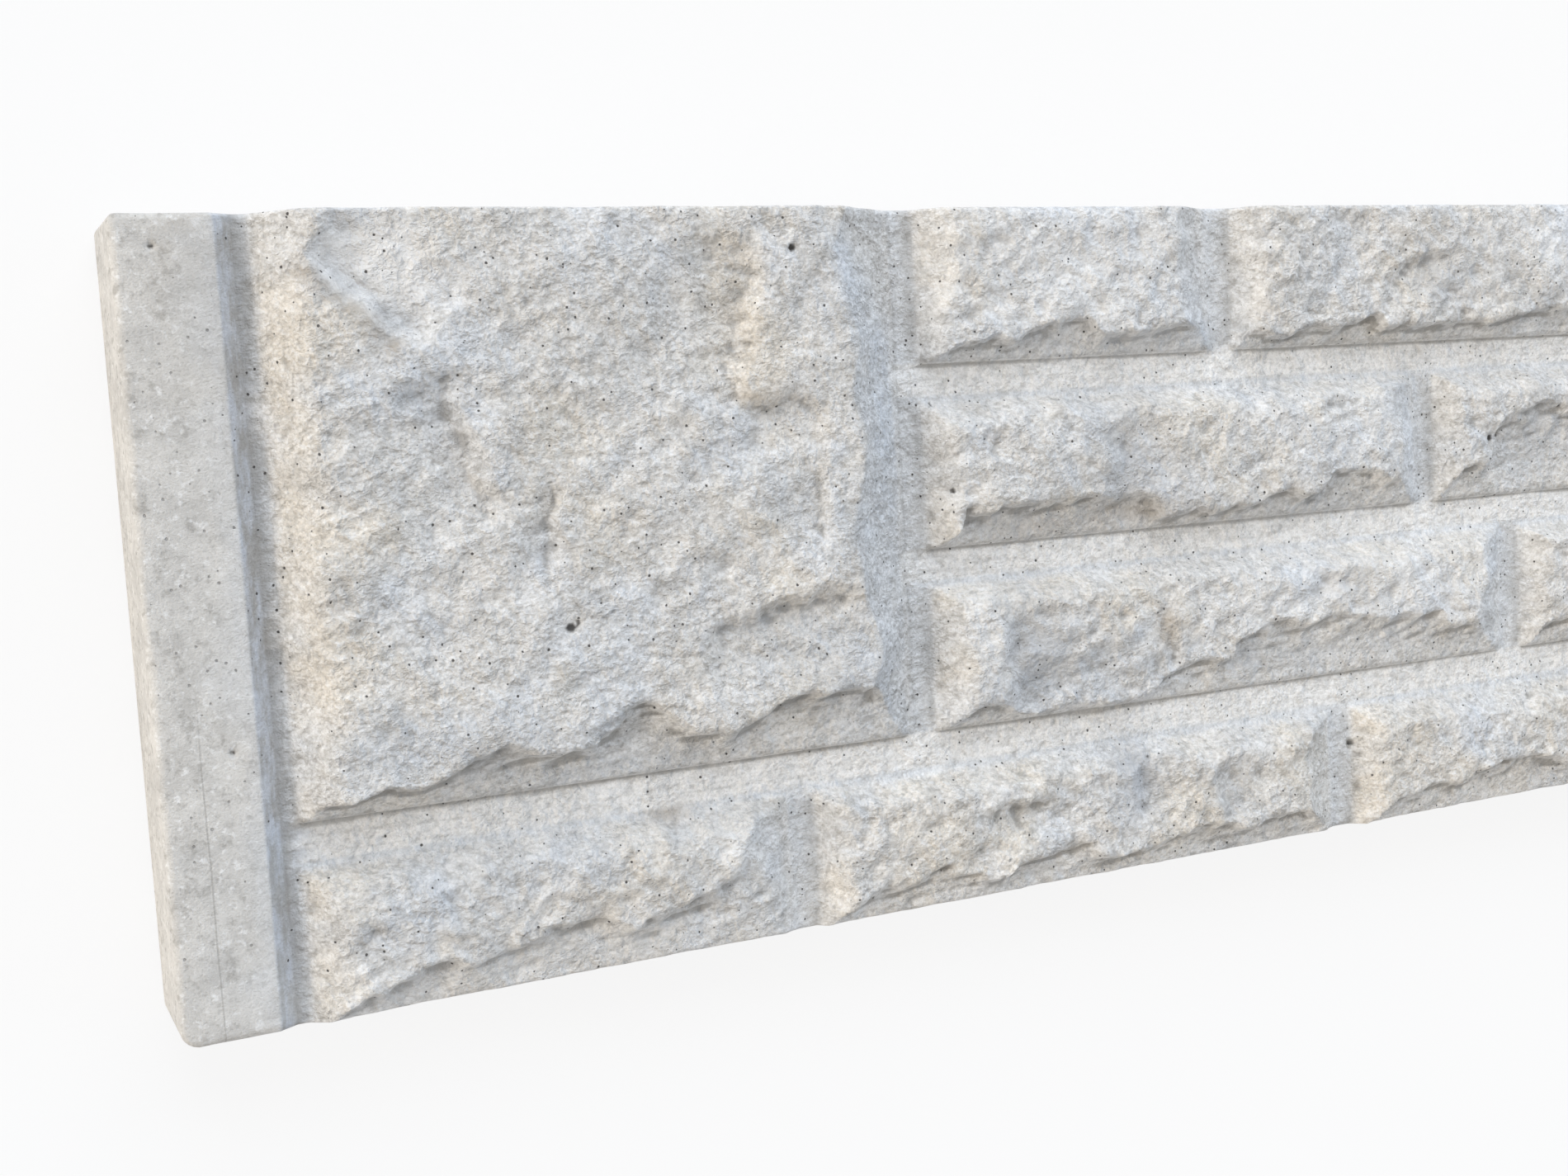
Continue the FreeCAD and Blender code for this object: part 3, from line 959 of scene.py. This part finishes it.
along_board = concrete.node("ShaderNodeSeparateXYZ", None, {"Vector": coords})
from_line = along_board + (LENGTH / 2 - HAIRLINE) * MM + HAIRLINE_WANDER * MM * (cloud(40, offset=7.1) - 0.5)
near_line = 1 - (from_line * from_line).ramp(*((width * MM) ** 2 for width in HAIRLINE_WIDTHS))
low_down = (0 - along_board.output(1)).ramp(0.0, HAIRLINE_FADE * MM)
tongue_tone = coated(
    TONGUE_SKIN,
    (cloud(16, 6.0, 0.7, offset=4.1).ramp(0.30, 0.70), TONGUE_WASH),
    (0.6 * cloud(3.0, 4.0, 0.6, offset=5.7).ramp(0.53, 0.72), LIME_AND_HIGHLIGHT),
    (0.45 * (1 - cloud(4.0, 4.0, 0.6, offset=6.3).ramp(0.30, 0.48)), DUST_AND_SHADE),
    (0.4 * near_line * low_down, DUST_AND_SHADE),
)
shoulder_patches = cloud(7, 5.0, 0.65, offset=8.2, stretch=(0.6, 2.2, 1))
# painted shade: the shoulders are coloured dark grey and bluish in patches
shoulder_shade = blend(shoulder_patches.ramp(0.36, 0.64), SHOULDER_SHADE_GREY, SHOULDER_SHADE_BLUE)
body = coated(body, (tongue_mark, tongue_tone), (shoulder_mark, shoulder_shade))
print(len(concrete.tree.nodes), "nodes")

# %% [markdown]
# ## Grit and grain
#
# Grains and torn lumps a few millimetres across are too fine for the mesh. Two clouds give torn lumps and
# pebbles, a third gives fine grain, and Voronoi cells on bent coordinates give sharp grit in light and
# dark. High grains are paler and low places darker: partly the sand's own tone, and partly painted light
# and shade of the grains. The same patterns feed the bump later, so the painted light and shade agree
# with it.

# %% Grit and grain
GRIT_CELL = 1.5

torn = cloud(5.5, 5.0, 0.62, stretch=(1.3, 1, 1), turn=12)
pebble = cloud(2.4, 4.0, 0.60, offset=0.5, stretch=(1.4, 1, 1), turn=6)
grain = cloud(0.9, 2.0, 0.6, offset=0.3)
warp_sockets = {"Vector": coords, "Scale": 0.6 / (GRIT_CELL * MM), "Detail": 1.0}
warp = concrete.node("ShaderNodeTexNoise", None, warp_sockets, out=1)
bent_sockets = {0: warp, 1: [1.2 * GRIT_CELL * MM] * 3, 2: coords}
bent = concrete.node("ShaderNodeVectorMath", {"operation": "MULTIPLY_ADD"}, bent_sockets)
grit_far = concrete.node("ShaderNodeTexVoronoi", None, {"Vector": bent, "Scale": 1 / (GRIT_CELL * MM)})
grit_tone = concrete.node("ShaderNodeSeparateColor", None, {"Color": grit_far.output(1)})
rough_face = (0.8 + 0.2 * stone_mark) * (1 - (tongue_mark + 0.7 * shoulder_mark))
body = coated(
    body,
    (rough_face * 0.22 * grit_tone.ramp(0.5, 1.0), LIME_AND_HIGHLIGHT),
    (rough_face * 0.16 * (1 - grit_tone).ramp(0.5, 1.0), DUST_AND_SHADE),
    # painted light and shade of the grains: paler on high pebbles, darker in low places and at the edges of
    # the grit cells
    (rough_face * 0.18 * grit_far.ramp(0.40, 0.75), DUST_AND_SHADE),
    (rough_face * 0.46 * pebble.ramp(0.50, 0.68), LIME_AND_HIGHLIGHT),
    (rough_face * 0.38 * (1 - pebble.ramp(0.32, 0.50)), DUST_AND_SHADE),
    (rough_face * 0.32 * (1 - torn.ramp(0.32, 0.50)), DUST_AND_SHADE),
    (0.20 * (1 - grain.ramp(0.30, 0.50)), DUST_AND_SHADE),
)
print(len(concrete.tree.nodes), "nodes")

# %% [markdown]
# ## Painted shade, stains and small holes
#
# Painted shade darkens the creases, the hollows of the faces and the lips under the struck edges, and
# the listed marks go over it. Small blowholes are scattered through the concrete, painted dark as the
# shade inside them. They are balls in space, so that a face cuts some through the middle and others only
# at the top. Upright joints, which are hard to tamp, have more of them.

# %% Painted shade, stains and small holes
BROWN = (0.36, 0.30, 0.23, 1)
WASH_AND_SHADE = (0.46, 0.48, 0.51, 1)
HOLE_SHADE = (0.09, 0.085, 0.08, 1)
HOLE_CELL = 3.4
MOST_HOLE = 0.16  # radius of the largest holes, in cells

hole_spread = {"Vector": coords, "Scale": [HOLE_CELL * MM] * 3}
hole_place = concrete.node("ShaderNodeMapping", {"vector_type": "TEXTURE"}, hole_spread)
hole_far = concrete.node("ShaderNodeTexVoronoi", None, {"Vector": hole_place, "Scale": 1.0})
hole_draw = concrete.node("ShaderNodeSeparateColor", None, {"Color": hole_far.output(1)})
hole_size = hole_draw.ramp(0.52 - 0.25 * upright_mark, 1.0) * MOST_HOLE
solid_skin = (hole_far + 0.16 * cloud(0.7) - hole_size).ramp(0.05, 0.11)
body = coated(
    body,
    # painted shade in the creases
    (0.62 * mark_of("crease").ramp(0.25, 0.9), DUST_AND_SHADE),
    # painted shadow under the lips of the struck edges
    (0.18 * mark_of("lip"), DUST_AND_SHADE),
    # painted shade in the hollows of the faces; the next line colours real grey washes
    (0.25 * mark_of("hollow").ramp(0.1, 1.0), WASH_AND_SHADE),
    (mark_of("washed"), WASH_AND_SHADE),
    # pale patches, partly lime and partly painted highlight on slopes that face the light
    (mark_of("lime_and_highlight"), LIME_AND_HIGHLIGHT),
    (0.8 * mark_of("brown"), BROWN),
    # painted shade inside the blowholes and the small holes
    (mark_of("blowhole").ramp(0.35, 0.75), HOLE_SHADE),
    ((0.95 - 0.5 * tongue_mark) * (1 - solid_skin), HOLE_SHADE),
)
print(len(concrete.tree.nodes), "nodes")

# %% [markdown]
# ## Relief and surface
#
# A Bump node turns the grit into shade. Its height is in millimetres, and it is weaker in some patches,
# where the mould was smoother. Concrete is matt, so the surface is rough with little gloss.

# %% Relief and surface
patchy = cloud(13, 3.0, 0.55, offset=3.3).ramp(0.36, 0.64)
grit_relief = 2.6 * torn + 1.3 * pebble - 0.3 * grit_far
relief_height = rough_face * (0.5 + 0.7 * patchy) * grit_relief + 0.4 * grain + 0.4 * solid_skin
normal = concrete.node("ShaderNodeBump", None, {"Height": relief_height, "Strength": 1.0, "Distance": MM})
skin = {"Base Color": body, "Roughness": 0.84 + 0.1 * grain, "Normal": normal, "Specular IOR Level": 0.25}
surface = concrete.node("ShaderNodeBsdfPrincipled", None, skin)
concrete.node("ShaderNodeOutputMaterial", None, {"Surface": surface})
board_mesh.materials.clear()
board_mesh.materials.append(concrete.owner)
print(concrete.owner.name, "has", len(concrete.tree.nodes), "nodes")

# %% [markdown]
# ## Floor
#
# The board lies on its back on a plain white floor. To the camera the floor shows mostly a white of its
# own, mixed with the lit surface so that the board's shadow is kept. Light Path tells the rays of the
# camera from those that carry light between surfaces.

# %% Floor
FLOOR_HALF = 6.0
FLOOR_DROP = 0.0003  # keeps the floor just clear of the board's back
FLOOR_GREY = 0.86
FLOOR_SHOWN = 0.82  # share of plain white that the camera sees

floor_mesh = bpy.data.meshes.new("floor")
floor_plan = ((-1, -1), (1, -1), (1, 1), (-1, 1))
floor_corners = [(x * FLOOR_HALF, y * FLOOR_HALF, -FLOOR_DROP) for x, y in floor_plan]
floor_mesh.from_pydata(floor_corners, [], [(0, 1, 2, 3)])
floor = bpy.data.objects.new("floor", floor_mesh)
bpy.context.collection.objects.link(floor)


def seen_by_camera(finish):
    """1 on rays from the camera, by way of gloss or glass too, and 0 on rays that light a matt surface."""
    ray = finish.node("ShaderNodeLightPath")
    return ray + ray.output("Is Glossy Ray") + ray.output("Is Transmission Ray")


paper = Finish(bpy.data.materials.new("white_floor"))
matt = paper.node("ShaderNodeBsdfDiffuse", None, {"Color": (FLOOR_GREY, FLOOR_GREY, FLOOR_GREY, 1)})
glow = paper.node("ShaderNodeEmission", None, {"Color": (1, 1, 1, 1), "Strength": 1.0})
shown = paper.node("ShaderNodeMixShader", None, {0: FLOOR_SHOWN * seen_by_camera(paper), 1: matt, 2: glow})
paper.node("ShaderNodeOutputMaterial", None, {"Surface": shown})
floor_mesh.materials.append(paper.owner)
print(f"floor {2 * FLOOR_HALF:.0f} m wide")

# %% [markdown]
# ## Light
#
# Three wide suns and a plain sky give soft daylight. A low warm one comes from the left and catches the
# left slopes, a bluish one comes from beyond the top edge, and a weak cool one from the right fills the
# other slopes. Together they light a level surface at about the strength of its written colour. The
# camera sees the sky as plain white.

# %% Lamps and sky
SKY_COLOUR = (0.99, 0.97, 0.955, 1)
SKY_STRENGTH = 0.495
# Each lamp: its strength, its width in degrees, its colour and the direction it comes from
LAMPS = {
    "warm_light": (1.75, 30, (1.0, 0.92, 0.81), (-0.95, 0.05, 0.31)),
    "sky_light": (2.1, 60, (0.79, 0.88, 1.0), (0.10, 0.87, 0.48)),
    "cool_light": (0.6, 40, (0.50, 0.72, 1.0), (0.93, 0.0, 0.37)),
}
for name, (energy, angle, colour, source) in LAMPS.items():
    lamp_data = bpy.data.lights.new(name, "SUN")
    lamp_data.energy = energy
    lamp_data.angle = math.radians(angle)
    lamp_data.color = colour
    lamp = bpy.data.objects.new(name, lamp_data)
    lamp.rotation_euler = Vector(source).to_track_quat("Z", "Y").to_euler()
    bpy.context.collection.objects.link(lamp)

sky = Finish(bpy.data.worlds.new("sky"))
daylight = sky.node("ShaderNodeBackground", None, {"Color": SKY_COLOUR, "Strength": SKY_STRENGTH})
backdrop = sky.node("ShaderNodeBackground", None, {"Color": (1, 1, 1, 1), "Strength": 1.0})
shown = sky.node("ShaderNodeMixShader", None, {0: seen_by_camera(sky), 1: daylight, 2: backdrop})
sky.node("ShaderNodeOutputWorld", None, {"Surface": shown})
bpy.context.scene.world = sky.owner
bpy.context.scene.view_settings.view_transform = "Standard"
print(len(LAMPS), "lamps and a sky")

# %% [markdown]
# ## Camera
#
# The camera stands close to the left end and looks along the board, so the courses run together towards
# the right. A perspective fitted to the board's edges gives its place, its lens and how it is turned.

# %% Camera
SENSOR = 36.0
LENS = 42.16
CAMERA_PLACE = (-0.9882, 0.0652, 0.7429)
CAMERA_TURN = (-3.573, -25.617, -3.757)  # degrees about X, Y and Z

camera_data = bpy.data.cameras.new("camera")
camera_data.sensor_width = SENSOR
camera_data.lens = LENS
camera = bpy.data.objects.new("camera", camera_data)
camera.location = CAMERA_PLACE
camera.rotation_euler = Euler([math.radians(angle) for angle in CAMERA_TURN])
bpy.context.collection.objects.link(camera)
bpy.context.scene.camera = camera
print(f"camera {CAMERA_PLACE[2] - THICKNESS * MM:.2f} m above the face")
